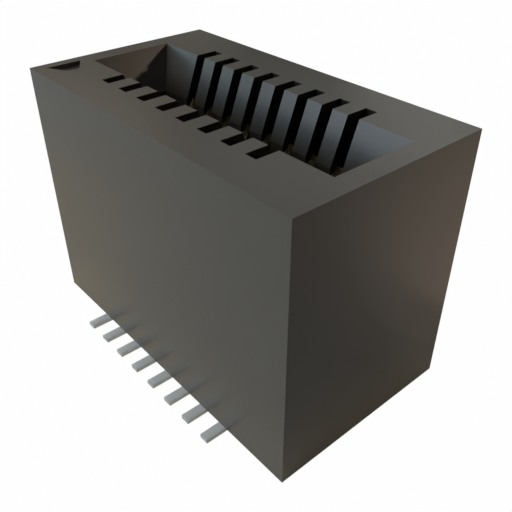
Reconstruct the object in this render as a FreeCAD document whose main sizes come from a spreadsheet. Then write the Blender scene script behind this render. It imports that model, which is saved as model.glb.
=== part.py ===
# Card edge connector: a straight-up socket with two rows of surface-mount contacts.
# The origin is at the middle of the board face, +Z is the way the card leaves the slot,
# X runs along the contact rows, and the near row, with the corner mark, is at -Y.

import FreeCAD, Part
import math
import os
import Sketcher
from FreeCAD import Placement, Rotation, Vector

doc = FreeCAD.newDocument("card_edge_connector")

# Driving dimensions, in millimetres except for the number of contacts.
SIZES = [
    ("contact_count", "8", "contacts in each row, a number"),
    ("pitch", "1.00", "from one contact to the next in a row"),
    ("body_width", "6.98", "housing, across the rows"),
    ("body_height", "8.89", "housing, from its underside to its top face"),
    ("end_wall", "1.26", "housing wall beyond each end of the slot"),
    ("side_wall", "1.23", "housing wall outside each row of cavities"),
    ("card_thickness", "1.60", "card that the slot takes"),
    ("card_clearance", "0.12", "between each face of the card and the slot's wall"),
    ("card_margin", "1.40", "card beyond the middle of the last contact, at each end"),
    ("card_end_clearance", "0.11", "between each end of the card and the slot's wall"),
    ("card_depth", "6.00", "from the top face down to the seat of the card"),
    ("lead_in_depth", "1.48", "height of the funnel above the slot"),
    ("lead_in_run", "0.57", "how far each wall of the funnel opens outwards"),
    ("beam_clearance", "0.035", "between each edge of a beam and its cavity"),
    ("loading_clearance", "0.15", "between the web and a crest, as a contact goes in from below"),
    ("strip_thickness", "0.15", "metal strip of the contacts"),
    ("tail_width", "0.35", "contact tail, along the rows"),
    ("tail_reach", "0.73", "tail beyond the side of the housing"),
    ("bend_radius", "0.20", "inside of the bend between tail and plate"),
    ("bend_clearance", "0.04", "between that bend and the relief in the housing"),
    ("plate_width", "0.58", "press-in plate, along the rows"),
    ("plate_rise", "0.75", "from the housing's underside up to the plate"),
    ("plate_height", "2.00", "press-in plate, up to its shoulders"),
    ("groove_clearance", "0.03", "between the inner face of the plate and its groove"),
    ("barb_reach", "0.03", "barb beyond the edge of the plate"),
    ("barb_slope", "0.26", "height of the barb's leading slope"),
    ("barb_land", "0.06", "height of the barb's flat edge"),
    ("barb_spacing", "0.70", "from the lower pair of barbs to the upper pair"),
    ("barb_rise", "0.45", "from the plate's lower end to the lower pair of barbs"),
    ("shoulder_slope", "0.12", "height of the slope from the tail to the plate"),
    ("root_rise", "0.10", "from the plate's shoulders to the root of the beam"),
    ("root_radius", "0.60", "inside of the bend at the root of the beam"),
    ("beam_width", "0.35", "spring beam at its root, along the rows"),
    ("crest_width", "0.30", "spring beam at its crest and its tip, along the rows"),
    ("crest_radius", "0.30", "inside of the bend at the crest"),
    ("crest_depth", "2.40", "from the top face down to the crest"),
    ("crest_press", "0.20", "how far a card pushes each crest back"),
    ("tip_depth", "1.42", "from the top face down to the middle of the tip's end"),
    ("tip_setback", "0.21", "from the slot's wall back to the middle of the tip's end"),
    ("mark_side", "1.23", "side of the three-cornered mark"),
    ("mark_depth", "0.15", "depth of the mark in the top face"),
    ("mark_end_gap", "0.38", "from the end of the housing to the mark"),
    ("mark_side_gap", "1.03", "from the near side of the housing to the mark's centre"),
]

sheet = doc.addObject("Spreadsheet::Sheet", "Sizes")
for line, (alias, size, note) in enumerate(SIZES, start=1):
    sheet.set(f"A{line}", alias)
    sheet.set(f"B{line}", size)
    sheet.set(f"C{line}", note)
    sheet.setAlias(f"B{line}", alias)
doc.recompute()

# Sizes and places that several features share, worked out from the sheet. Heights that
# start with CONTACT are above the board face, and the others above the housing's
# underside, which the tails lift off the board by their thickness.
SLOT_WIDTH = "(Sizes.card_thickness + 2 * Sizes.card_clearance)"
ROW_LENGTH = "((Sizes.contact_count - 1) * Sizes.pitch)"
SLOT_LENGTH = f"({ROW_LENGTH} + 2 * (Sizes.card_margin + Sizes.card_end_clearance))"
BODY_LENGTH = f"({SLOT_LENGTH} + 2 * Sizes.end_wall)"
MOUTH_WIDTH = f"({SLOT_WIDTH} + 2 * Sizes.lead_in_run)"
MOUTH_LENGTH = f"({SLOT_LENGTH} + 2 * Sizes.lead_in_run)"
CAVITY_WIDTH = "(Sizes.beam_width + 2 * Sizes.beam_clearance)"
CAVITY_OUTER = "(Sizes.body_width / 2 - Sizes.side_wall)"
CREST_FACE = "(Sizes.card_thickness / 2 - Sizes.crest_press)"
CAVITY_INNER = f"({CREST_FACE} - Sizes.loading_clearance)"
RELIEF = "(Sizes.bend_radius + Sizes.bend_clearance)"
GROOVE_WIDTH = "(Sizes.plate_width + 2 * Sizes.barb_reach)"
GROOVE_INNER = f"({CAVITY_OUTER} - Sizes.strip_thickness - Sizes.groove_clearance)"
SHOULDER = "(Sizes.plate_rise + Sizes.plate_height)"
STAND_OFF = "Sizes.strip_thickness"
CONTACT_TOP = f"({STAND_OFF} + Sizes.body_height)"
CONTACT_PLATE = f"({STAND_OFF} + Sizes.plate_rise)"
CONTACT_SHOULDER = f"({STAND_OFF} + {SHOULDER})"
CONTACT_CREST = f"({CONTACT_TOP} - Sizes.crest_depth)"
CONTACT_TIP = f"({CONTACT_TOP} - Sizes.tip_depth)"
TIP_OUTWARD = f"({SLOT_WIDTH} / 2 + Sizes.tip_setback)"
TAIL_END = "(Sizes.body_width / 2 + Sizes.tail_reach)"

# A sketch's own numbers for its origin, its two axes and the points of its geometry.
ORIGIN = (-1, 1)
AXIS_ALONG = -1
AXIS_UP = -2
START, END, CENTRE = 1, 2, 3


def value(expression):
    """The number that an expression on the sheet gives now."""
    return float(sheet.evalExpression(expression))


def new_body(name):
    body = doc.addObject("PartDesign::Body", name)
    body.Label = name
    return body


def new_sketch(body, name, plane, lift=None):
    """A sketch on one of the body's own origin planes, lifted along its normal."""
    sketch = body.newObject("Sketcher::SketchObject", name)
    support = next(f for f in body.Origin.OriginFeatures if f.Role == plane)
    sketch.AttachmentSupport = [(support, "")]
    sketch.MapMode = "FlatFace"
    if lift:
        sketch.setExpression("AttachmentOffset.Base.z", lift)
    return sketch


def add_rules(sketch, rules):
    """Adds constraints to a sketch in one go. Each rule is a kind, the geometry that it
    holds and, for a driving dimension, the expression on the sheet that gives its size."""
    constraints = []
    for kind, geometry, expression in rules:
        size = (value(expression),) if expression else ()
        constraints.append(Sketcher.Constraint(kind, *geometry, *size))
    first = sketch.ConstraintCount
    sketch.addConstraint(constraints)
    for index, (kind, geometry, expression) in enumerate(rules, start=first):
        if expression:
            sketch.setExpression(f"Constraints[{index}]", expression)


def along(point, expression):
    """The rule for a point's distance from the origin along the sketch's first axis."""
    return distance_rule("DistanceX", AXIS_UP, point, expression)


def upwards(point, expression):
    """The rule for a point's distance from the origin along the sketch's second axis."""
    return distance_rule("DistanceY", AXIS_ALONG, point, expression)


def distance_rule(kind, axis, point, expression):
    if expression == "0":
        return ("PointOnObject", (*point, axis), None)
    if value(expression) < 0:
        return (kind, (*point, *ORIGIN), f"-({expression})")
    return (kind, (*ORIGIN, *point), expression)


def outline(sketch, corners):
    """A closed outline of straight lines through corners given as expressions. Lines
    whose ends share an expression are held upright or level, and the rest dimensioned."""
    spots = [Vector(value(x), value(y), 0) for x, y in corners]
    lines = []
    for here, there in zip(spots, spots[1:] + spots[:1]):
        lines.append(sketch.addGeometry(Part.LineSegment(here, there)))
    rules = []
    for number, line in enumerate(lines):
        before = lines[number - 1]
        x, y = corners[number]
        x_before, y_before = corners[number - 1]
        rules.append(("Coincident", (before, END, line, START), None))
        rules.append(("Vertical", (before,), None) if x == x_before else along((line, START), x))
        rules.append(("Horizontal", (before,), None) if y == y_before else upwards((line, START), y))
    add_rules(sketch, rules)


def centred_rectangle(sketch, length, width):
    x, y = f"{length} / 2", f"{width} / 2"
    outline(sketch, [(f"-{x}", f"-{y}"), (x, f"-{y}"), (x, y), (f"-{x}", y)])


def cut(body, name, sketch, depth=None, rising=False):
    """A pocket: to a depth from the sketch, or else through all, both ways."""
    pocket = body.newObject("PartDesign::Pocket", name)
    pocket.Profile = sketch
    if depth is None:
        pocket.SideType = "Symmetric"
        pocket.Type = "ThroughAll"
    else:
        pocket.setExpression("Length", depth)
        pocket.Reversed = rising
    return pocket


def make_housing():
    """The moulded housing, in its own frame: its underside is at height 0."""
    body = new_body("housing")
    body.setExpression("Placement.Base.z", STAND_OFF)

    block_outline = new_sketch(body, "block_outline", "XY_Plane")
    centred_rectangle(block_outline, BODY_LENGTH, "Sizes.body_width")
    block = body.newObject("PartDesign::Pad", "block")
    block.Profile = block_outline
    block.setExpression("Length", "Sizes.body_height")

    slot_outline = new_sketch(body, "slot_outline", "XY_Plane", "Sizes.body_height")
    centred_rectangle(slot_outline, SLOT_LENGTH, SLOT_WIDTH)
    cut(body, "card_slot", slot_outline, "Sizes.card_depth")

    mouth = new_sketch(body, "funnel_mouth", "XY_Plane", "Sizes.body_height")
    centred_rectangle(mouth, MOUTH_LENGTH, MOUTH_WIDTH)
    throat = new_sketch(
        body, "funnel_throat", "XY_Plane", "Sizes.body_height - Sizes.lead_in_depth"
    )
    centred_rectangle(throat, SLOT_LENGTH, SLOT_WIDTH)
    funnel = body.newObject("PartDesign::SubtractiveLoft", "lead_in_funnel")
    funnel.Profile = mouth
    funnel.Sections = [throat]
    funnel.Ruled = True

    make_mark(body)
    make_cavities(body)
    return body


def make_mark(body):
    """The shallow three-cornered mark beside contact 1, pointing along the rows."""
    base = f"(Sizes.mark_end_gap - {BODY_LENGTH} / 2)"
    point = f"({base} + Sizes.mark_side * sqrt(3) / 2)"
    middle = "(Sizes.mark_side_gap - Sizes.body_width / 2)"
    mark = new_sketch(body, "mark_outline", "XY_Plane", "Sizes.body_height")
    outline(mark, [
        (base, f"{middle} - Sizes.mark_side / 2"),
        (point, middle),
        (base, f"{middle} + Sizes.mark_side / 2"),
    ])
    cut(body, "corner_mark", mark, "Sizes.mark_depth")


def make_cavities(body):
    """Both rows of contact cavities, with the grooves that hold the contact plates."""
    section = new_sketch(body, "cavity_section", "YZ_Plane", f"-{ROW_LENGTH} / 2")
    for side in ("", "-"):
        outline(section, [
            (f"{side}{CAVITY_INNER}", "0"),
            (f"{side}({CAVITY_OUTER} + {RELIEF})", "0"),
            (f"{side}{CAVITY_OUTER}", RELIEF),
            (f"{side}{CAVITY_OUTER}", "Sizes.body_height"),
            (f"{side}{CAVITY_INNER}", "Sizes.body_height"),
        ])
    cavities = body.newObject("PartDesign::Pocket", "cavity_pair")
    cavities.Profile = section
    cavities.SideType = "Symmetric"
    cavities.setExpression("Length", CAVITY_WIDTH)

    groove_outline = new_sketch(body, "groove_outline", "XY_Plane")
    left = f"-({ROW_LENGTH} + {GROOVE_WIDTH}) / 2"
    right = f"({GROOVE_WIDTH} - {ROW_LENGTH}) / 2"
    for side in ("", "-"):
        outline(groove_outline, [
            (left, f"{side}{GROOVE_INNER}"),
            (right, f"{side}{GROOVE_INNER}"),
            (right, f"{side}{CAVITY_OUTER}"),
            (left, f"{side}{CAVITY_OUTER}"),
        ])
    grooves = cut(body, "groove_pair", groove_outline, SHOULDER, rising=True)

    rows = body.newObject("PartDesign::LinearPattern", "cavity_rows")
    rows.Originals = [cavities, grooves]
    row_axis = next(f for f in body.Origin.OriginFeatures if f.Role == "X_Axis")
    rows.Direction = (row_axis, [""])
    rows.Mode = "Spacing"
    rows.setExpression("Offset", "Sizes.pitch")
    rows.setExpression("Occurrences", "Sizes.contact_count")
    body.Tip = rows


def polar(centre, radius, angle):
    """The point of a circle at an angle from its centre, in radians."""
    return centre + radius * Vector(math.cos(angle), math.sin(angle), 0)


def strip_path(sketch):
    """The middle line of the contact's strip: tail, plate, beam and tip, with the
    bends between them as arcs. The straight stretches are the lines that touch them."""
    half_strip = "Sizes.strip_thickness / 2"
    bends = [
        (
            f"{CAVITY_OUTER} + Sizes.bend_radius",
            "Sizes.strip_thickness + Sizes.bend_radius",
            f"Sizes.bend_radius + {half_strip}",
        ),
        (
            f"{CAVITY_OUTER} - Sizes.strip_thickness - Sizes.root_radius",
            f"{CONTACT_SHOULDER} + Sizes.root_rise",
            f"Sizes.root_radius + {half_strip}",
        ),
        (
            f"{CREST_FACE} + Sizes.strip_thickness + Sizes.crest_radius",
            CONTACT_CREST,
            f"Sizes.crest_radius + {half_strip}",
        ),
    ]
    foot, root, crest = [Vector(value(x), value(y), 0) for x, y, radius in bends]
    foot_radius, root_radius, crest_radius = [value(radius) for x, y, radius in bends]
    tail = Vector(value(TAIL_END), value(half_strip), 0)
    tip = Vector(value(TIP_OUTWARD), value(CONTACT_TIP), 0)

    # The beam's angle from upright, where one line touches the root and crest bends on
    # opposite sides, and the tip's, where a line from its end touches the crest bend.
    span = crest - root
    beam_lean = math.atan2(span.y, span.x) - math.acos((root_radius + crest_radius) / span.Length)
    span = tip - crest
    tip_lean = math.acos(-crest_radius / span.Length) - math.atan2(span.y, span.x)
    turns = [
        (foot, foot_radius, math.pi * 3 / 2, math.pi),
        (root, root_radius, 0, beam_lean),
        (crest, crest_radius, math.pi + beam_lean, math.pi - tip_lean),
    ]

    lines = []
    arcs = []
    here = tail
    for centre, radius, first, last in turns:
        lines.append(sketch.addGeometry(Part.LineSegment(here, polar(centre, radius, first))))
        circle = Part.Circle(centre, Vector(0, 0, 1), radius)
        arcs.append(sketch.addGeometry(Part.ArcOfCircle(circle, min(first, last), max(first, last))))
        here = polar(centre, radius, last)
    lines.append(sketch.addGeometry(Part.LineSegment(here, tip)))

    rules = [
        along((lines[0], START), TAIL_END),
        upwards((lines[0], START), half_strip),
        along((lines[-1], END), TIP_OUTWARD),
        upwards((lines[-1], END), CONTACT_TIP),
    ]
    for number, arc in enumerate(arcs):
        x, y, radius = bends[number]
        centre, size, first, last = turns[number]
        enter, leave = (START, END) if first < last else (END, START)
        rules += [
            ("Tangent", (lines[number], END, arc, enter), None),
            ("Tangent", (arc, leave, lines[number + 1], START), None),
            along((arc, CENTRE), x),
            upwards((arc, CENTRE), y),
            ("Radius", (arc,), radius),
        ]
    add_rules(sketch, rules)


def edge_trim(sketch, side):
    """What is stamped away beside the strip on one side: above the plate, round its
    barbs, and beside the tail. The strip is as wide as its groove before this."""
    edge = f"{GROOVE_WIDTH} / 2"
    beyond = f"({edge} + Sizes.strip_thickness)"
    plate = "Sizes.plate_width / 2"
    below = "-Sizes.strip_thickness"
    barb = f"({CONTACT_PLATE} + Sizes.barb_rise)"
    corners = [
        (beyond, CONTACT_TOP),
        ("Sizes.crest_width / 2", CONTACT_TOP),
        ("Sizes.crest_width / 2", CONTACT_CREST),
        ("Sizes.beam_width / 2", CONTACT_SHOULDER),
        (plate, CONTACT_SHOULDER),
    ]
    for lift in (f"{barb} + Sizes.barb_spacing", barb):
        corners += [
            (plate, f"{lift} + Sizes.barb_land + Sizes.barb_slope"),
            (edge, f"{lift} + Sizes.barb_land"),
            (edge, lift),
            (plate, lift),
        ]
    corners += [
        (plate, f"{CONTACT_PLATE} + Sizes.shoulder_slope"),
        ("Sizes.tail_width / 2", CONTACT_PLATE),
        ("Sizes.tail_width / 2", below),
        (beyond, below),
    ]
    outline(sketch, [(f"{side}({x})", y) for x, y in corners])


def shape_contact(body):
    """The contact as in the far row, where the tail points to +Y: a strip formed along
    its path, then stamped to width."""
    path = new_sketch(body, "strip_path", "YZ_Plane")
    strip_path(path)
    section = new_sketch(body, "strip_section", "XZ_Plane", f"-{TAIL_END}")
    across = f"{GROOVE_WIDTH} / 2"
    outline(section, [
        (f"-({across})", "0"),
        (across, "0"),
        (across, "Sizes.strip_thickness"),
        (f"-({across})", "Sizes.strip_thickness"),
    ])
    strip = body.newObject("PartDesign::AdditivePipe", "formed_strip")
    strip.Profile = section
    strip.Spine = path

    trim = new_sketch(body, "stamped_edges", "XZ_Plane")
    for side in ("", "-"):
        edge_trim(trim, side)
    cut(body, "stamping", trim)


def make_contact(row, number, model):
    """One contact in its place. The first is modelled and the others are its copies;
    the near row's are turned half round."""
    body = new_body(f"contact_{row}_{number}")
    turn = 180 if row == "near" else 0
    body.Placement = Placement(Vector(0, 0, 0), Rotation(Vector(0, 0, 1), turn))
    body.setExpression("Placement.Base.x", f"{number - 1} * Sizes.pitch - {ROW_LENGTH} / 2")
    if model:
        body.newObject("PartDesign::FeatureBase", "contact_copy").BaseFeature = model
    else:
        shape_contact(body)
    return body


housing = make_housing()
contacts = []
for row in ("near", "far"):
    for number in range(1, round(value("Sizes.contact_count")) + 1):
        model = contacts[0] if contacts else None
        contacts.append(make_contact(row, number, model))
bodies = [housing, *contacts]
doc.recompute()

# Nothing is written unless every feature was made and every cut took something away.
for item in doc.Objects:
    if "Invalid" in item.State or "Error" in item.State:
        raise RuntimeError(f"{item.Name} could not be made: {item.State}")
for item in doc.Objects:
    if item.isDerivedFrom("PartDesign::Pocket") or item.isDerivedFrom("PartDesign::SubtractiveLoft"):
        if item.Shape.Volume >= item.BaseFeature.Shape.Volume:
            raise RuntimeError(f"{item.Name} cuts nothing")
for body in bodies:
    if body.Shape.isNull() or not body.Shape.isValid() or len(body.Shape.Solids) != 1:
        raise RuntimeError(f"{body.Label} is not one sound solid")

os.makedirs("parts", exist_ok=True)
for body in bodies:
    body.Shape.exportStep(f"parts/{body.Label}.step")
    print(body.Label, round(body.Shape.Volume, 3), "mm3")
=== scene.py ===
# %% [markdown]
# # A card edge connector, dressed for its picture
# The connector is a small moulded block, 12.5 mm long, with a funnelled slot in its top.
# A circuit card is pushed into the slot between two rows of eight sprung contacts, and
# the flat tails of those contacts are soldered to a board.
#
# The solid model already has the right shapes, and it comes in first as a fixed frame.
# This lesson adds the rest: a camera, soft light, a plastic and a metal finish, and
# contacts with smooth bends and rounded edges in the places of the plain ones.

# %% The frame and its size
import math

import bmesh
import bpy
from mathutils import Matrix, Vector


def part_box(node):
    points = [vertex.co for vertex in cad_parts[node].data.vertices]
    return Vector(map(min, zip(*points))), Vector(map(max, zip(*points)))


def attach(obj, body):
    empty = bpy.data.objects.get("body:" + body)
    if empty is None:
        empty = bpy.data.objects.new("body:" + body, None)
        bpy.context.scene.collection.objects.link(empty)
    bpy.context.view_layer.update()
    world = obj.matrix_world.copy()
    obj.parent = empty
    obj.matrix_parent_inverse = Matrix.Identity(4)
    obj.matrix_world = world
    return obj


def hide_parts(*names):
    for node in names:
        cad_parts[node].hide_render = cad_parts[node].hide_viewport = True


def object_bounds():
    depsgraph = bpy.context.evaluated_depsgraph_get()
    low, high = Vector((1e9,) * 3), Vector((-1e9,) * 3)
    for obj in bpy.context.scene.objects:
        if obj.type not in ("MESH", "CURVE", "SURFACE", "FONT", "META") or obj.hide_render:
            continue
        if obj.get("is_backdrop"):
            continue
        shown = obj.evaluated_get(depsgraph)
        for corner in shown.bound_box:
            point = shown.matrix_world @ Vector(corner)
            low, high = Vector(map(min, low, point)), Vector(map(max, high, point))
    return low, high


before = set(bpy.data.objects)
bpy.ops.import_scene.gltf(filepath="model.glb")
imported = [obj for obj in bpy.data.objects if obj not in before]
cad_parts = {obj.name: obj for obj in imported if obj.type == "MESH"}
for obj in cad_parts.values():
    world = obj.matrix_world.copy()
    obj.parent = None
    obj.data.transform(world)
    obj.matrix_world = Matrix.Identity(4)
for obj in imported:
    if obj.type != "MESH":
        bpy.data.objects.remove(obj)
solid_model_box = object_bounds()

MM = 0.001
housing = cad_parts["housing"]
housing_low, housing_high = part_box("housing")
print("nodes:", len(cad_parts))
print("housing, mm:", [round(side / MM, 2) for side in housing_high - housing_low])

# %% [markdown]
# ## The camera
# The picture was taken from close by, so the far end of the block looks clearly smaller
# than the near end, and only a camera at the same distance gives that. Its place and
# lens were solved from the corners of the block. The block is tiny, so the camera also
# has to see things a millimetre away, where Blender's usual limit is 100 mm.

# %% The camera
CAMERA_PLACE = Vector((14.175, -11.327, 15.884)) * MM
CAMERA_DIRECTION = Vector((-0.61907, 0.53644, -0.57357))
LENS_MM = 44.33
SENSOR_MM = 36.0
NEAREST_SEEN = 1 * MM
FARTHEST_SEEN = 1000 * MM

camera_data = bpy.data.cameras.new("camera")
camera_data.lens = LENS_MM
camera_data.sensor_width = SENSOR_MM
camera_data.clip_start = NEAREST_SEEN
camera_data.clip_end = FARTHEST_SEEN
camera = bpy.data.objects.new("camera", camera_data)
camera.location = CAMERA_PLACE
camera.rotation_euler = CAMERA_DIRECTION.to_track_quat("-Z", "Y").to_euler()
bpy.context.scene.collection.objects.link(camera)
bpy.context.scene.camera = camera
bpy.context.scene.view_settings.view_transform = "Standard"
print("camera, mm from the foot of the block:", round(CAMERA_PLACE.length / MM, 1))

# %% [markdown]
# ## Nodes that read like sums
# A finish is a network of nodes, and so is a tree that makes a mesh. A sum in one takes a
# node for each sign, so `1 - worn * 0.3` would be a dozen lines by hand. A small class
# therefore wraps an output of a node, and Python's own signs add the Math nodes. They
# also work the other way round, with a plain number first.

# %% A value in a network of nodes
class Value:
    """One output of a node, to which Python's signs add Math nodes."""

    def __init__(self, network, socket):
        self.network = network
        self.socket = socket

    def __add__(self, other):
        return self.network.maths("ADD", self, other)

    def __sub__(self, other):
        return self.network.maths("SUBTRACT", self, other)

    def __mul__(self, other):
        return self.network.maths("MULTIPLY", self, other)

    def __rsub__(self, other):
        return self.network.maths("SUBTRACT", other, self)

    __radd__ = __add__
    __rmul__ = __mul__

    def also(self, output):
        """Another output of the same node."""
        return Value(self.network, self.socket.node.outputs[output])


print("signs that add nodes: + - *")

# %% [markdown]
# Every other node, such as a noise, a step or a bend, comes from one method. It takes the
# node's type, then its settings, which are set first because they can change its sockets,
# and then a number or a value for each socket. The kinds of node that come up again and
# again get a short method of their own, which calls that one.

# %% A network of nodes
def grey(level):
    return (level, level, level, 1)


class Network:
    """The nodes of a finish, of the room's light, or of a tree that makes a mesh."""

    def __init__(self, tree):
        self.tree = tree
        self.tree.nodes.clear()

    def node(self, kind, settings, inputs, output=0):
        """A new node; the setting "choices" says how many items a switch has."""
        made = self.tree.nodes.new(kind)
        for name, setting in settings.items():
            if name == "choices":
                while len(made.index_switch_items) < setting:
                    made.index_switch_items.new()
            else:
                setattr(made, name, setting)
        for name, feed in inputs.items():
            if isinstance(feed, Value):
                self.tree.links.new(feed.socket, made.inputs[name])
            else:
                made.inputs[name].default_value = feed
        return Value(self, made.outputs[output]) if made.outputs else None

    def maths(self, operation, first, second=0.0):
        return self.node("ShaderNodeMath", {"operation": operation}, {0: first, 1: second})

    def vector(self, operation, first, second):
        return self.node("ShaderNodeVectorMath", {"operation": operation}, {0: first, 1: second})

    def mix(self, factor, first, second):
        """One colour that turns into another as the factor goes from 0 to 1."""
        feeds = {0: factor, 6: first, 7: second}
        return self.node("ShaderNodeMix", {"data_type": "RGBA"}, feeds, 2)

    def step(self, value, start, end):
        """Goes smoothly from 0 to 1 as the value goes from start to end."""
        ends = {"Value": value, "From Min": start, "From Max": end}
        return self.node("ShaderNodeMapRange", {"interpolation_type": "SMOOTHSTEP"}, ends)

    def noise(self, place, scale, detail):
        spread = {"Vector": place, "Scale": scale, "Detail": detail}
        return self.node("ShaderNodeTexNoise", {}, spread)


def finish_of(owner):
    """The network of a material or of the room's light, emptied."""
    owner.use_nodes = True
    return Network(owner.node_tree)


print("short methods: maths, vector, mix, step, noise")

# %% [markdown]
# ## White paper
# The block stands on pure white that shows next to no shadow. So the floor is paper that
# glows at almost exactly white where the camera sees it. The small rest is its own
# shading, which keeps a trace of the shadow.
#
# Reflections see the real paper with the block's shadow on it, and only a little of a
# warm glow. It is brightest close by the block and, in front of it, towards the left.
# That is what lies dimly mirrored in the plastic walls.

# %% Where the paper glows
# Each pair of places is where a glow is nil and where it is full.
FRONT_START = (-2.5 * MM, -4.5 * MM)
FRONT_END = (-16 * MM, -9 * MM)
FRONT_LEFT_END = (-33 * MM, -9 * MM)
LEFT_WEDGE = (11 * MM, -3 * MM)
BESIDE_BLOCK = (2.0 * MM, 0.3 * MM)

paper = bpy.data.materials.new("white_paper")
finish = finish_of(paper)
place = finish.node("ShaderNodeTexCoord", {}, {}, "Object")
paper_x = finish.node("ShaderNodeSeparateXYZ", {}, {0: place})
paper_y = paper_x.also("Y")
in_front = finish.step(paper_y, *FRONT_START) * finish.step(paper_y, *FRONT_END)
in_front = in_front * finish.step(paper_x, *FRONT_LEFT_END)
on_the_left = finish.step(paper_x - paper_y * 2, *LEFT_WEDGE)
beside_x = finish.maths("ABSOLUTE", paper_x) - housing_high.x
beside_y = finish.maths("ABSOLUTE", paper_y) - housing_high.y
near = finish.step(finish.maths("MAXIMUM", beside_x, beside_y), *BESIDE_BLOCK)
print("the glow ends, mm beside the block:", BESIDE_BLOCK[0] / MM)
print("and, mm in front of its middle:", -FRONT_END[0] / MM)

# %% The paper's finish
SEEN_GLOW = 0.99
MIRRORED_GLOW = 0.01
FRONT_GLOW = 0.17
LEFT_GLOW = 0.17
NEAR_GLOW = 0.20
AMBER = (1.0, 0.74, 0.34, 1)
CREAM = (1.0, 0.87, 0.62, 1)
AMBER_TO_CREAM = (-14 * MM, 2 * MM)
PAPER_COLOUR = grey(0.9)

seen = finish.node("ShaderNodeLightPath", {}, {}, "Is Camera Ray")
mirrored = finish.maths("MAXIMUM", seen.also("Is Glossy Ray"), seen.also("Is Transmission Ray"))
share = in_front * (on_the_left * LEFT_GLOW + FRONT_GLOW) + near * NEAR_GLOW + MIRRORED_GLOW
warm = finish.mix(finish.step(paper_x, *AMBER_TO_CREAM), AMBER, CREAM)
glow_colour = finish.mix(seen, warm, grey(1.0))
glow = finish.node("ShaderNodeEmission", {}, {"Color": glow_colour, "Strength": 1.0})
shading = finish.node("ShaderNodeBsdfDiffuse", {}, {"Color": PAPER_COLOUR})
glowing = seen * SEEN_GLOW + mirrored * share
surface = finish.node("ShaderNodeMixShader", {}, {0: glowing, 1: shading, 2: glow})
finish.node("ShaderNodeOutputMaterial", {}, {"Surface": surface})
print("paper:", len(paper.node_tree.nodes), "nodes")

# %% The floor
FLOOR_HALF = 300 * MM

floor_mesh = bpy.data.meshes.new("floor")
floor_signs = ((-1, -1), (1, -1), (1, 1), (-1, 1))
floor_corners = [(x * FLOOR_HALF, y * FLOOR_HALF, 0) for x, y in floor_signs]
floor_mesh.from_pydata(floor_corners, [], [(0, 1, 2, 3)])
floor_mesh.materials.append(paper)
floor = bpy.data.objects.new("floor", floor_mesh)
bpy.context.scene.collection.objects.link(floor)
floor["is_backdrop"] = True
print("floor, mm across:", 2 * FLOOR_HALF / MM)

# %% [markdown]
# Past the edge of the floor the camera sees the room, which is the same white. It lights
# nothing, because the lamps do that, and mirrors see only a trace of it.

# %% The room
ROOM_MIRRORED = 0.002

room = bpy.data.worlds.new("room")
bpy.context.scene.world = room
finish = finish_of(room)
seen = finish.node("ShaderNodeLightPath", {}, {}, "Is Camera Ray")
mirrored = finish.maths("MAXIMUM", seen.also("Is Glossy Ray"), seen.also("Is Transmission Ray"))
strength = finish.maths("MAXIMUM", seen, mirrored * ROOM_MIRRORED)
room_colour = finish.mix(strength, grey(0.0), grey(1.0))
surface = finish.node("ShaderNodeBackground", {}, {"Color": room_colour})
finish.node("ShaderNodeOutputWorld", {}, {"Surface": surface})
print("room:", len(room.node_tree.nodes), "nodes")

# %% [markdown]
# ## Soft lamps
# The picture shows where its light came from. The front is lit softly from the front
# left, the rims of the top shine where they mirror lamps behind the block, and a small
# warm lamp far to the right throws a sharp slanting shadow into the end of the funnel. A
# warm glow climbs the back of the right face from something low on the paper. It has a
# soft edge, so two panels that face up make it, one a little short of the other.
#
# Each lamp is a round panel at the same distance, at an angle round the block and an
# angle up. Their strengths were found by comparing a picture by each one alone with the
# photograph.

# %% A lamp
def add_lamp(name, place, turn, width, depth, watts, colour):
    data = bpy.data.lights.new(name, "AREA")
    data.shape = "ELLIPSE"
    data.size = width
    data.size_y = depth
    data.energy = watts
    data.color = colour
    lamp = bpy.data.objects.new(name, data)
    lamp.location = place
    lamp.rotation_euler = turn
    lamp.visible_camera = False
    bpy.context.scene.collection.objects.link(lamp)
    print(f"{name}: {watts * 1000:.2f} mW")


# %% The lamps
AIM = Vector((0, 0, 4.5)) * MM
LAMP_DISTANCE = 110 * MM
LAMPS = {
    # name: degrees round from the front, degrees up, width in mm, watts, colour
    "window": (345, 22, 40, 0.0267, (0.97, 0.99, 1.00)),
    "low_window": (325, 6, 40, 0.0114, (0.96, 1.00, 0.97)),
    "left_window": (302, 12, 40, 0.0070, (0.60, 0.89, 1.00)),
    "sky": (325, 22, 40, 0.0091, (0.30, 0.60, 1.00)),
    "over": (0, 70, 40, 0.0104, (1.00, 0.99, 0.97)),
    "left_end": (265, 6, 40, 0.0250, (1.00, 0.85, 0.65)),
    "left_behind": (250, 34, 40, 0.0060, (1.00, 0.88, 0.75)),
    "left_behind_low": (236, 11, 24, 0.00065, (1.00, 0.94, 0.75)),
    "corner_behind": (225, 34, 40, 0.0029, (0.99, 1.00, 0.95)),
    "corner_behind_low": (212, 22, 24, 0.0013, (1.00, 0.99, 0.94)),
    "behind": (200, 34, 40, 0.0057, (1.00, 0.97, 0.87)),
    "back": (187, 6, 40, 0.0160, (1.00, 0.98, 0.94)),
    "small_and_far": (125, 18.4, 6, 0.0060, (1.00, 0.79, 0.62)),
}
for name, (degrees_round, degrees_up, width, watts, colour) in LAMPS.items():
    around, up = math.radians(degrees_round), math.radians(degrees_up)
    level = math.cos(up)
    out = Vector((math.sin(around) * level, -math.cos(around) * level, math.sin(up)))
    turn = (-out).to_track_quat("-Z", "Y").to_euler()
    add_lamp(name, AIM + out * LAMP_DISTANCE, turn, width * MM, width * MM, watts, colour)

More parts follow.
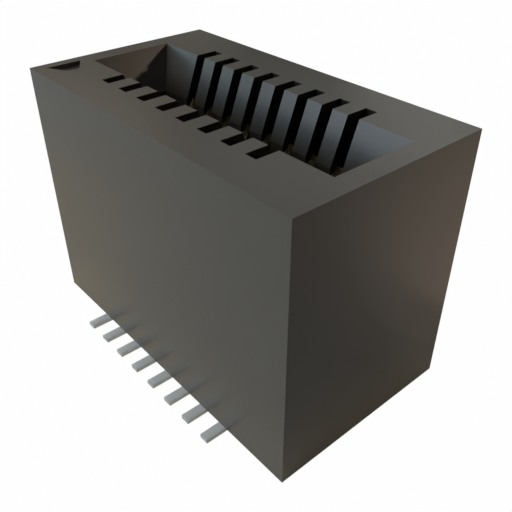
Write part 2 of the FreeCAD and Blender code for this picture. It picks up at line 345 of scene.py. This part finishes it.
# %% The warm panels
WARM = (1.0, 0.75, 0.54)
FACE_UP = (math.pi, 0, math.radians(-28))
WARM_PANELS = {
    # name: the panel's middle, its width and its depth, all in mm, and its watts
    "warm_card": ((13.2, 16.4, 0.2), 9, 22, 0.00015),
    "warm_edge": ((12.4, 14.4, 0.4), 10, 23, 0.00008),
}
for name, (middle, width, depth, watts) in WARM_PANELS.items():
    add_lamp(name, Vector(middle) * MM, FACE_UP, width * MM, depth * MM, watts, WARM)

# %% [markdown]
# ## A stamped strip, still flat
# Each contact is made the way a press makes it. A narrow strip of springy copper alloy
# is stamped to its outline, with a wide plate and two pairs of barbs that will hold it
# in the plastic, and then it is bent. First comes the path that it will be bent to: its
# corners, from the end of the tail to the sprung tip, and how tight each bend is.

# %% Where the strip bends
PATH = {
    # corner: (outwards from the slot, up), radius of the bend there, all in mm
    "Tail end": ((4.22, 0.075), 0),
    "Foot": ((2.185, 0.075), 0.275),
    "Root": ((2.185, 3.1425), 0.675),
    "Crest": ((0.6348, 6.6518), 0.375),
    "Tip": ((1.13, 7.62), 0),
}


def find_bends():
    """Where each bend starts and ends, as lengths along the strip, and its whole length."""
    corners = [Vector(corner) for corner, radius in PATH.values()]
    radii = [radius for corner, radius in PATH.values()]
    bends = []
    length = 0
    cut_back = 0
    for before, corner, after, radius in zip(corners, corners[1:], corners[2:], radii[1:]):
        turn = (corner - before).angle(after - corner)
        tangent = radius * math.tan(turn / 2)
        start = length + (corner - before).length - cut_back - tangent
        bends.append((start, start + radius * turn))
        length = bends[-1][1]
        cut_back = tangent
    return bends, length + (corners[-1] - corners[-2]).length - cut_back


(foot_bend, root_bend, crest_bend), strip_length = find_bends()
print("strip, mm:", round(strip_length, 3))
for name, (start, end) in (("foot", foot_bend), ("root", root_bend), ("crest", crest_bend)):
    print(f"{name} bend, mm along it: {start:.3f} to {end:.3f}")

# %% [markdown]
# The outline is a list of places along the strip, with half its width at each. The barbs
# slope one way only, so that the plate slides in from below and can't come out again.
# Where the width jumps, the two places of the jump are 0.01 mm apart.

# %% The outline
TAIL_HALF = 0.175
PLATE_HALF = 0.29
BARB_HALF = 0.32
BEAM_HALF = 0.175
CREST_HALF = 0.15
PLATE_AFTER_BEND = 0.55
PLATE_LENGTH = 2.0
PLATE_SLOPE = 0.12
BARB_PLACES = (0.45, 1.15)
BARB_FLAT = 0.06
BARB_LENGTH = 0.32
JUMP = 0.01
HAIR = 1e-6

plate_start = foot_bend[1] + PLATE_AFTER_BEND
shoulder = plate_start + PLATE_LENGTH
outline = [(0, TAIL_HALF), (plate_start, TAIL_HALF), (plate_start + PLATE_SLOPE, PLATE_HALF)]
for barb_place in BARB_PLACES:
    barb = plate_start + barb_place
    outline += [
        (barb - JUMP, PLATE_HALF),
        (barb, BARB_HALF),
        (barb + BARB_FLAT, BARB_HALF),
        (barb + BARB_LENGTH, PLATE_HALF),
    ]
outline += [
    (shoulder - JUMP, PLATE_HALF),
    (shoulder, BEAM_HALF),
    (sum(crest_bend) / 2, CREST_HALF),
    (strip_length, CREST_HALF),
]


def half_width(place):
    """Half the strip's width at a place along it; a rounded place may be a hair too far."""
    for (start, first), (end, last) in zip(outline, outline[1:]):
        if place <= end + HAIR:
            return first + (last - first) * (place - start) / (end - start)
    return outline[-1][1]


print("outline:", len(outline), "places, at most", 2 * BARB_HALF, "mm wide")

# %% [markdown]
# Rings of points stand across the strip at those places, and closer together where it
# will bend, because a straight face can't follow a bend. Each ring is a rectangle with
# rounded corners: stamped edges aren't knife edges, and the rounding catches the light.

# %% The rings
STRIP_HALF = 0.075
EDGE_ROUND = 0.018
END_INSET = EDGE_ROUND * 0.6
CORNER_POINTS = 3
BEND_STEPS = {foot_bend: 14, root_bend: 6, crest_bend: 12}


def ring_places():
    """Every place along the strip that gets a ring of points, in order."""
    places = [place for place, half in outline]
    for (start, end), steps in BEND_STEPS.items():
        places += [start + (end - start) * step / steps for step in range(steps + 1)]
    places += [EDGE_ROUND, strip_length - EDGE_ROUND]
    return sorted(set(round(place, 5) for place in places))


def ring(place):
    """A ring is smaller at the two ends of the strip, which rounds them too."""
    inset = 0.0 if EDGE_ROUND <= place <= strip_length - EDGE_ROUND else END_INSET
    half = half_width(min(max(place, 0), strip_length)) - inset
    thick = STRIP_HALF - inset
    points = []
    for corner, (side, face) in enumerate([(1, 1), (-1, 1), (-1, -1), (1, -1)]):
        for step in range(CORNER_POINTS):
            angle = math.pi / 2 * (corner + step / (CORNER_POINTS - 1))
            x = side * (half - EDGE_ROUND) + EDGE_ROUND * math.cos(angle)
            z = face * (thick - EDGE_ROUND) + EDGE_ROUND * math.sin(angle)
            points.append((x * MM, place * MM, z * MM))
    return points


rings = [ring(place) for place in ring_places()]
print("rings:", len(rings), "of", len(rings[0]), "points")

# %% The flat strip
ring_size = len(rings[0])
points = [point for ring_points in rings for point in ring_points]
faces = [tuple(range(ring_size))]
for first in range(0, len(points) - ring_size, ring_size):
    for side in range(ring_size):
        here, there = first + side, first + (side + 1) % ring_size
        faces.append((here, here + ring_size, there + ring_size, there))
faces.append(tuple(reversed(range(len(points) - ring_size, len(points)))))
flat_strip = bpy.data.meshes.new("flat_strip")
flat_strip.from_pydata(points, [], faces)
print("flat strip:", len(faces), "faces")

# %% [markdown]
# ## Forming and repeating the strip
# Bending follows a path, and the row repeats at an even pitch, so Geometry Nodes do both.
# The tree has an input for every corner and bend of the path, and for the row's count,
# pitch and turn, so the same tree would make another contact, or a longer row.

# %% The inputs of the tree
row_tree = bpy.data.node_groups.new("row_of_contacts", "GeometryNodeTree")
row_tree.is_modifier = True
kinds = {"Flat strip": "Geometry", "Count": "Int", "Pitch": "Float", "Turn": "Float"}
kinds["Metal"] = "Material"
kinds |= {f"{corner} corner": "Vector" for corner in PATH}
kinds |= {f"{corner} radius": "Float" for corner in PATH}
tree_inputs = {}
for name, kind in kinds.items():
    socket = row_tree.interface.new_socket(name, in_out="INPUT", socket_type=f"NodeSocket{kind}")
    tree_inputs[name] = socket.identifier
row_tree.interface.new_socket("Row", in_out="OUTPUT", socket_type="NodeSocketGeometry")
print("inputs:", ", ".join(tree_inputs))

# %% [markdown]
# The path starts as a straight line with as many points as there are corners. Each point
# is moved to its own corner, picked by its number, and then the corners are rounded.

# %% The path in the tree
ARC_POINTS = 32

forming = Network(row_tree)
count = forming.node("NodeGroupInput", {}, {}, "Count")
number = forming.node("GeometryNodeInputIndex", {}, {})


def by_number(data_type, word):
    """For each point of the line, the input that belongs to the corner of its number."""
    feeds = {"Index": number}
    for choice, corner in enumerate(PATH, start=1):
        feeds[choice] = count.also(f"{corner} {word}")
    settings = {"data_type": data_type, "choices": len(PATH)}
    return forming.node("GeometryNodeIndexSwitch", settings, feeds)


corners = by_number("VECTOR", "corner")
radii = by_number("FLOAT", "radius")
line = forming.node("GeometryNodeCurvePrimitiveLine", {}, {})
line_points = {"Curve": line, "Count": len(PATH)}
line = forming.node("GeometryNodeResampleCurve", {"mode": "COUNT"}, line_points)
line = forming.node("GeometryNodeSetPosition", {}, {"Geometry": line, "Position": corners})
arcs = {"Curve": line, "Count": ARC_POINTS, "Radius": radii}
path = forming.node("GeometryNodeFilletCurve", {"mode": "POLY"}, arcs)
print("tree so far:", len(row_tree.nodes), "nodes")

# %% [markdown]
# Every point of the flat strip knows how far along, across and off the strip it is. The
# tree takes the place and the direction of the path at that length, and puts the point
# there. It also writes the first two on the point, for the metal's finish to read.

# %% The forming in the tree
ACROSS = (1.0, 0.0, 0.0)

flat_place = forming.node("GeometryNodeInputPosition", {}, {})
flat = forming.node("ShaderNodeSeparateXYZ", {}, {0: flat_place})
strip = count.also("Flat strip")
for name, feed in (("across_strip", flat), ("along_strip", flat.also("Y"))):
    strip = forming.node(
        "GeometryNodeStoreNamedAttribute",
        {"data_type": "FLOAT", "domain": "POINT"},
        {"Geometry": strip, "Name": name, "Value": feed},
    )
along_path = {"Curves": path, "Length": flat.also("Y")}
spot = forming.node("GeometryNodeSampleCurve", {"mode": "LENGTH"}, along_path, "Position")
off = forming.vector("CROSS_PRODUCT", ACROSS, spot.also("Tangent"))
off_strip = {0: off, "Scale": flat.also("Z")}
off = forming.node("ShaderNodeVectorMath", {"operation": "SCALE"}, off_strip)
sideways = forming.node("ShaderNodeCombineXYZ", {}, {"X": flat})
moved = forming.vector("ADD", spot, forming.vector("ADD", sideways, off))
formed = forming.node("GeometryNodeSetPosition", {}, {"Geometry": strip, "Position": moved})
print("tree so far:", len(row_tree.nodes), "nodes")

# %% [markdown]
# The row is a line of points a pitch apart, with the middle of the row at the middle of
# the block. A copy of the contact goes on each, turned if the row asks for it, and gets
# its number in the row. At the end the copies become real faces with their metal.

# %% The row in the tree
pitch = count.also("Pitch")
first = forming.node("ShaderNodeCombineXYZ", {}, {"X": (count - 1) * pitch * -0.5})
onwards = forming.node("ShaderNodeCombineXYZ", {}, {"X": pitch})
turned = forming.node("ShaderNodeCombineXYZ", {}, {"Z": count.also("Turn")})
row_line = {"Count": count, "Start Location": first, "Offset": onwards}
spots = forming.node("GeometryNodeMeshLine", {}, row_line)
on_spots = {"Points": spots, "Instance": formed, "Rotation": turned}
copies = forming.node("GeometryNodeInstanceOnPoints", {}, on_spots)
copies = forming.node(
    "GeometryNodeStoreNamedAttribute",
    {"data_type": "INT", "domain": "INSTANCE"},
    {"Geometry": copies, "Name": "number", "Value": number + 1},
)
real = forming.node("GeometryNodeRealizeInstances", {}, {"Geometry": copies})
dressed = {"Geometry": real, "Material": count.also("Metal")}
row = forming.node("GeometryNodeSetMaterial", {}, dressed)
forming.node("NodeGroupOutput", {}, {"Row": row})
print("whole tree:", len(row_tree.nodes), "nodes")

# %% [markdown]
# ## Tin and gold
# The strip is plated in two metals. The tail is matt tin, which takes solder and scatters
# light almost like paper, and the sprung end is smooth gold, which never tarnishes where
# it rubs on the card. The line between them wanders a little, as a bath's surface leaves
# it. The very end of the tail is duller: it was cut there, after the plating, from the
# band that carried it through the press. The tree has left on every point how far along
# and across the strip it is, so all this and the fine marks of rolling follow the bends.

# %% The two platings
GOLD_START = 5.0 * MM
GOLD_FADE = 0.25 * MM
GOLD_WANDER = 0.3 * MM
CUT_FACE = (0.018 * MM, 0.008 * MM)
CLOUD_SCALE, CRYSTAL_SCALE = 1500.0, 22000.0
LINES_ACROSS, LINES_ALONG = 60000.0, 900.0
DULL_TIN, BRIGHT_TIN = (0.88, 0.88, 0.86, 1), (0.98, 0.98, 0.95, 1)
CUT_END = (0.74, 0.73, 0.73, 1)
DULL_GOLD, BRIGHT_GOLD = (0.72, 0.50, 0.17, 1), (0.84, 0.61, 0.25, 1)

metal = bpy.data.materials.new("plated_metal")
finish = finish_of(metal)
place = finish.node("ShaderNodeTexCoord", {}, {}, "Object")
along = finish.node("ShaderNodeAttribute", {"attribute_name": "along_strip"}, {}, "Fac")
across = finish.node("ShaderNodeAttribute", {"attribute_name": "across_strip"}, {}, "Fac")
cloud = finish.noise(place, CLOUD_SCALE, 3.0)
crystals = finish.noise(place, CRYSTAL_SCALE, 2.0)
rolling = {"X": across * LINES_ACROSS, "Y": along * LINES_ALONG}
rolled = finish.noise(finish.node("ShaderNodeCombineXYZ", {}, rolling), 1.0, 2.0)
gilt = finish.step(along + cloud * GOLD_WANDER, GOLD_START, GOLD_START + GOLD_FADE)
tin = finish.mix(crystals * 0.6 + cloud * 0.4, DULL_TIN, BRIGHT_TIN)
tin = finish.mix(finish.step(along, *CUT_FACE), tin, CUT_END)
gold = finish.mix(rolled, DULL_GOLD, BRIGHT_GOLD)
print("gold starts", GOLD_START / MM, "mm along the strip")

# %% The metal's surface
TIN_METALLIC, GOLD_METALLIC = 0.4, 1.0
TIN_ROUGHNESS, GOLD_ROUGHNESS = 0.60, 0.14

bump = finish.node("ShaderNodeBump", {}, {
    "Strength": 0.25,
    "Distance": 0.001 * MM,
    "Height": rolled * 0.5 + crystals * (1 - gilt) * 0.5,
})
surface = finish.node("ShaderNodeBsdfPrincipled", {}, {
    "Base Color": finish.mix(gilt, tin, gold),
    "Metallic": gilt * (GOLD_METALLIC - TIN_METALLIC) + TIN_METALLIC,
    "Roughness": crystals * 0.08 + TIN_ROUGHNESS - gilt * (TIN_ROUGHNESS - GOLD_ROUGHNESS),
    "Normal": bump,
})
finish.node("ShaderNodeOutputMaterial", {}, {"Surface": surface})
print("metal:", len(metal.node_tree.nodes), "nodes")

# %% [markdown]
# ## Sixteen contacts in their places
# The same tree makes both rows, the near one with every contact turned half round. The
# strip goes into the tree as the modifier's own mesh, and every input is set by its
# identifier before Blender works the tree out.

# %% A row as one mesh
COUNT = 8
PITCH = 1.0 * MM


def make_row(name, turn):
    source = bpy.data.objects.new(f"{name}_row", flat_strip)
    bpy.context.scene.collection.objects.link(source)
    modifier = source.modifiers.new("forming", "NODES")
    modifier.node_group = row_tree
    for corner, ((outwards, up), radius) in PATH.items():
        modifier[tree_inputs[f"{corner} corner"]] = (0.0, outwards * MM, up * MM)
        modifier[tree_inputs[f"{corner} radius"]] = radius * MM
    modifier[tree_inputs["Count"]] = COUNT
    modifier[tree_inputs["Pitch"]] = PITCH
    modifier[tree_inputs["Turn"]] = turn
    modifier[tree_inputs["Metal"]] = metal
    worked_out = source.evaluated_get(bpy.context.evaluated_depsgraph_get())
    made = bpy.data.meshes.new_from_object(worked_out)
    source.modifiers.remove(modifier)
    bpy.data.objects.remove(source)
    print(name, "row:", len(made.polygons), "faces")
    return made


row_meshes = {"near": make_row("near", math.pi), "far": make_row("far", 0.0)}

# %% [markdown]
# Each contact is a part that a fitter could pull out, so each row is taken apart by the
# number that the tree wrote on its points. Every piece then takes the place of the plain
# contact with the same row and number.

# %% Sixteen pieces
SMOOTH_BELOW = math.radians(35)


def take_out(row_name, number):
    """A mesh with only the contact of that number."""
    one = bmesh.new()
    one.from_mesh(row_meshes[row_name])
    numbers = one.verts.layers.int["number"]
    others = [point for point in one.verts if point[numbers] != number]
    bmesh.ops.delete(one, geom=others, context="VERTS")
    mesh = bpy.data.meshes.new(f"{row_name}_contact_{number}")
    one.to_mesh(mesh)
    one.free()
    mesh.materials.append(metal)
    mesh.shade_smooth()
    mesh.set_sharp_from_angle(angle=SMOOTH_BELOW)
    return mesh


for row_name in row_meshes:
    for number in range(1, COUNT + 1):
        mesh = take_out(row_name, number)
        piece = bpy.data.objects.new(mesh.name, mesh)
        bpy.context.scene.collection.objects.link(piece)
        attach(piece, "root")
        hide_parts(f"contact_{row_name}_{number}")
    print(row_name, "row:", COUNT, "pieces of", len(mesh.polygons), "faces")

# %% [markdown]
# ## Moulded plastic
# The housing is moulded in a dark, glass-filled plastic. It has no paint and no polish:
# the colour is in the plastic, warm and nearly black, and the surface copies the steel of
# the mould, with a soft sheen. Up close there is a very fine grain, faint clouds where
# the melt has flowed, and a hint of short glass fibres. They lie along the block, the way
# the melt ran, so their noise is squeezed across that way.

# %% The plastic's colour
DARK_PLASTIC, PALE_PLASTIC = (0.110, 0.103, 0.0895, 1), (0.130, 0.1215, 0.1055, 1)
FIBRE_COLOUR = (0.17, 0.16, 0.145, 1)
GRAIN_SCALE, MELT_SCALE = 16000.0, 350.0
FIBRE_SCALES = (4000.0, 30000.0, 30000.0)
FIBRES_FROM, FIBRES_TO = 0.62, 0.76

plastic = bpy.data.materials.new("moulded_plastic")
finish = finish_of(plastic)
place = finish.node("ShaderNodeTexCoord", {}, {}, "Object")
grain = finish.noise(place, GRAIN_SCALE, 2.0)
cloud = finish.noise(place, MELT_SCALE, 3.0)
fibres = finish.noise(finish.vector("MULTIPLY", place, FIBRE_SCALES), 1.0, 1.0)
fibres = finish.step(fibres, FIBRES_FROM, FIBRES_TO)
colour = finish.mix(cloud * 0.6 + grain * 0.4, DARK_PLASTIC, PALE_PLASTIC)
colour = finish.mix(fibres * 0.3, colour, FIBRE_COLOUR)
print("plastic so far:", len(plastic.node_tree.nodes), "nodes")

# %% [markdown]
# The contact cavities are the darkest places of the block, because hardly any light gets
# down to their narrow walls. The wide soft lamps here reach in a little further than the
# light of the picture did, so the plastic is made darker on those walls to make up for
# it. A point is in a cavity if it is near the middle of a contact, within the length of
# the row, near enough to the middle of the block, and below the top face.

# %% Painted shade inside the cavities
# Each pair is where the painted shade is nil and where it is full. The first is in pitches.
CAVITY_SIDE = (0.215, 0.212)
ROW_END = (COUNT / 2 * PITCH, COUNT / 2 * PITCH - 0.05 * MM)
CAVITY_OUTER = (2.32 * MM, 2.28 * MM)
TOP_EDGE = (housing_high.z - 0.01 * MM, housing_high.z - 0.03 * MM)
CAVITY_PAINTED_SHADE = (0.030, 0.028, 0.025, 1)

block_x = finish.node("ShaderNodeSeparateXYZ", {}, {0: place})
from_contact = finish.maths("ABSOLUTE", finish.maths("FRACT", block_x * (1 / PITCH)) - 0.5)
from_middle_x = finish.maths("ABSOLUTE", block_x)
from_middle_y = finish.maths("ABSOLUTE", block_x.also("Y"))
cavity_shade_mask = finish.step(from_contact, *CAVITY_SIDE)
cavity_shade_mask = cavity_shade_mask * finish.step(from_middle_x, *ROW_END)
cavity_shade_mask = cavity_shade_mask * finish.step(from_middle_y, *CAVITY_OUTER)
below_top = finish.step(block_x.also("Z"), *TOP_EDGE)
# Painted shade: the plastic's colour is darkened on the cavity walls, below the top face.
colour = finish.mix(cavity_shade_mask * below_top, colour, CAVITY_PAINTED_SHADE)
print("darker plastic, mm wide at each contact:", 2 * CAVITY_SIDE[1] * PITCH / MM)

# %% The plastic's surface
SMOOTHEST = 0.27

bump = finish.node("ShaderNodeBump", {}, {
    "Strength": 0.2,
    "Distance": 0.002 * MM,
    "Height": grain + fibres * 0.5,
})
surface = finish.node("ShaderNodeBsdfPrincipled", {}, {
    "Base Color": colour,
    "Roughness": cloud * 0.04 + grain * 0.04 + SMOOTHEST,
    "Normal": bump,
})
finish.node("ShaderNodeOutputMaterial", {}, {"Surface": surface})
housing.data.materials.clear()
housing.data.materials.append(plastic)
print("plastic:", len(plastic.node_tree.nodes), "nodes")

# %% [markdown]
# ## The sizes, side by side
# The dressed part must stay the size of the solid model. Both boxes are printed, so
# that they can be compared.

# %% The sizes
boxes = {"solid_model": solid_model_box, "visual_model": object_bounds()}
for name, (low, high) in boxes.items():
    print(name, "mm:", [round(side / MM, 3) for side in high - low])
